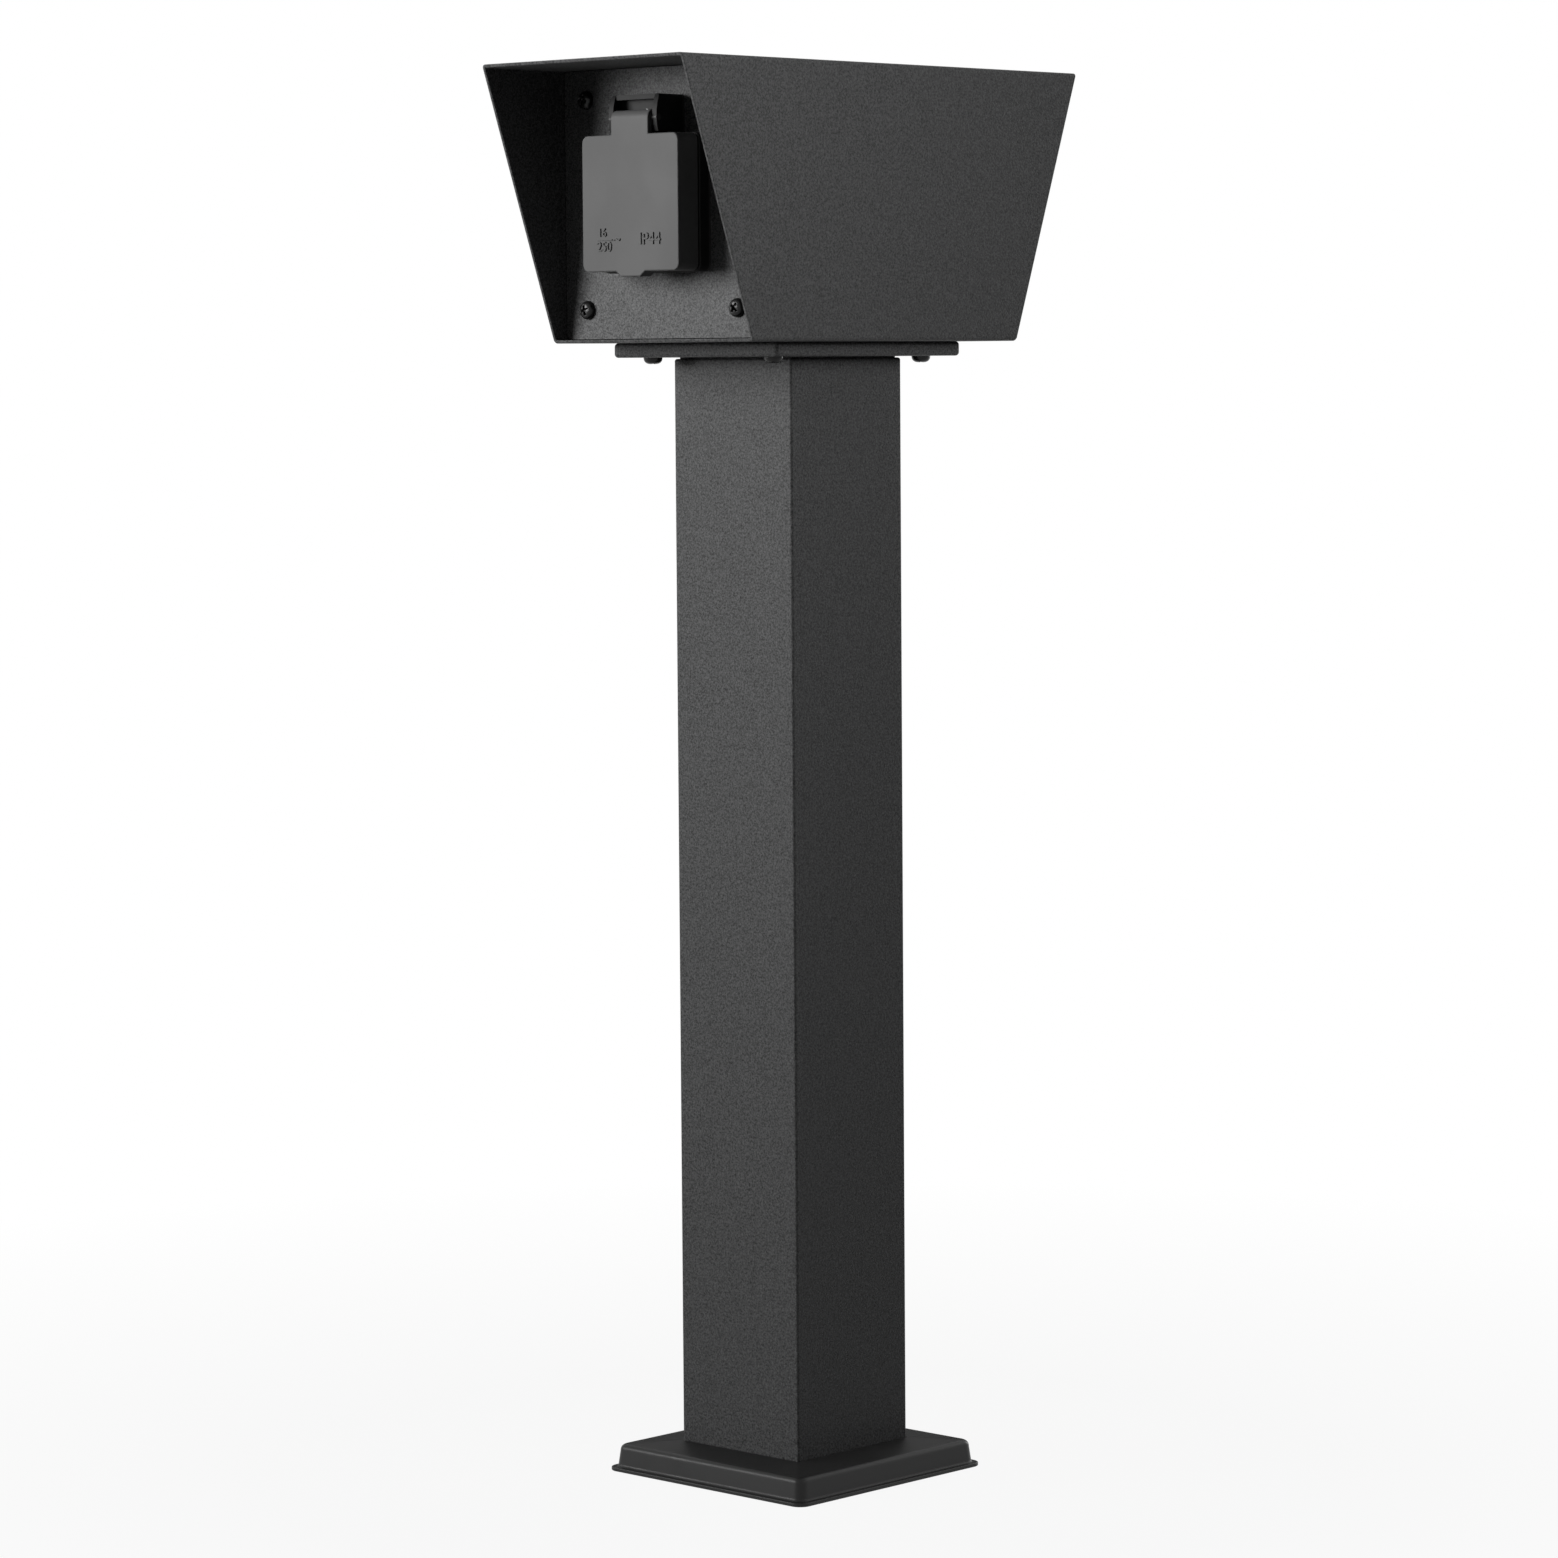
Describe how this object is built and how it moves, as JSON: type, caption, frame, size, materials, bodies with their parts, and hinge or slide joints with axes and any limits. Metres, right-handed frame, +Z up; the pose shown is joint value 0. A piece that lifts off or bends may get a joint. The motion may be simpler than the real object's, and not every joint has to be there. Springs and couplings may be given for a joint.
{
  "type": "garden socket post",
  "caption": "Square ground-mounted post with a slanted sheet hood sheltering recessed mains sockets under sprung hinged lids, and a moulded cover over its foot.",
  "frame": {"origin": "on the ground under the middle of the post, the bottom centre of the object's box", "axes": "+Z up along the post, -Y out of the front socket, +X to the right of someone facing it"},
  "size_m": [0.102, 0.2136, 0.5266],
  "materials": {
    "powder_coat": "fine textured powder coat, anthracite black",
    "cover_plastic": "smooth satin moulded plastic",
    "lid_plastic": "satin moulded plastic, slightly greyer than the hood",
    "socket_plastic": "black moulded plastic",
    "black_screws": "glossy black plated steel",
    "zinc_steel": "bright zinc plate",
    "stainless": "drawn stainless steel",
    "brass": "turned brass",
    "tinned_copper": "tin plate",
    "rubber": "matt black rubber",
    "block_plastic": "off-white moulded plastic",
    "lead_brown": "brown insulation",
    "lead_blue": "blue insulation",
    "lead_green_yellow": "green and yellow insulation"
  },
  "bodies": {
    "post": {"foot_plate": "powder_coat", "post_tube": "powder_coat", "head_plate": "powder_coat", "neck_plate": "powder_coat", "hood": "powder_coat", "neck_screws": "zinc_steel", "hood_screws": "black_screws", "hood_nuts": "zinc_steel", "cable_grommet": "rubber", "terminal_block": "block_plastic", "terminal_clamps": "brass", "clamp_screws": "zinc_steel", "block_screws": "zinc_steel", "earth_stud": "zinc_steel", "earth_lugs": "tinned_copper", "earth_nut": "zinc_steel", "front_panel": "powder_coat", "front_panel_brackets": "zinc_steel", "front_panel_screws": "black_screws", "front_gasket": "rubber", "front_socket_body": "socket_plastic", "front_contact_carrier": "socket_plastic", "front_pin_contacts": "brass", "front_terminal_screws": "zinc_steel", "front_earth_clip": "tinned_copper", "front_back_cover": "socket_plastic", "front_flange_screws": "zinc_steel", "front_hinge_pin": "stainless", "front_lid_spring": "stainless", "front_live_lead": "lead_brown", "front_neutral_lead": "lead_blue", "front_earth_lead": "lead_green_yellow", "rear_panel": "powder_coat", "rear_panel_brackets": "zinc_steel", "rear_panel_screws": "black_screws", "rear_gasket": "rubber", "rear_socket_body": "socket_plastic", "rear_contact_carrier": "socket_plastic", "rear_pin_contacts": "brass", "rear_terminal_screws": "zinc_steel", "rear_earth_clip": "tinned_copper", "rear_back_cover": "socket_plastic", "rear_flange_screws": "zinc_steel", "rear_hinge_pin": "stainless", "rear_lid_spring": "stainless", "rear_live_lead": "lead_brown", "rear_neutral_lead": "lead_blue", "rear_earth_lead": "lead_green_yellow"},
    "front_lid": {"front_lid": "lid_plastic", "front_lid_seal": "rubber"},
    "rear_lid": {"rear_lid": "lid_plastic", "rear_lid_seal": "rubber"},
    "base_cover": {"base_cover": "cover_plastic"}
  },
  "joints": [
    {"name": "front_lid_hinge", "type": "hinge", "parent": "post", "child": "front_lid", "pos_m": [0, -0.0794, 0.5062], "axis": [-1, 0, 0], "range_deg": [0, 95], "stiffness_Nm_per_rad": 0.02, "springref_deg": -28.65, "deforming": ["front_lid_spring"]},
    {"name": "rear_lid_hinge", "type": "hinge", "parent": "post", "child": "rear_lid", "pos_m": [0, 0.0794, 0.5062], "axis": [1, 0, 0], "range_deg": [0, 95], "stiffness_Nm_per_rad": 0.02, "springref_deg": -28.65, "deforming": ["rear_lid_spring"]},
    {"name": "base_cover_slide", "type": "slide", "parent": "post", "child": "base_cover", "axis": [0, 0, 1], "range_m": [0, 0.4]}
  ]
}
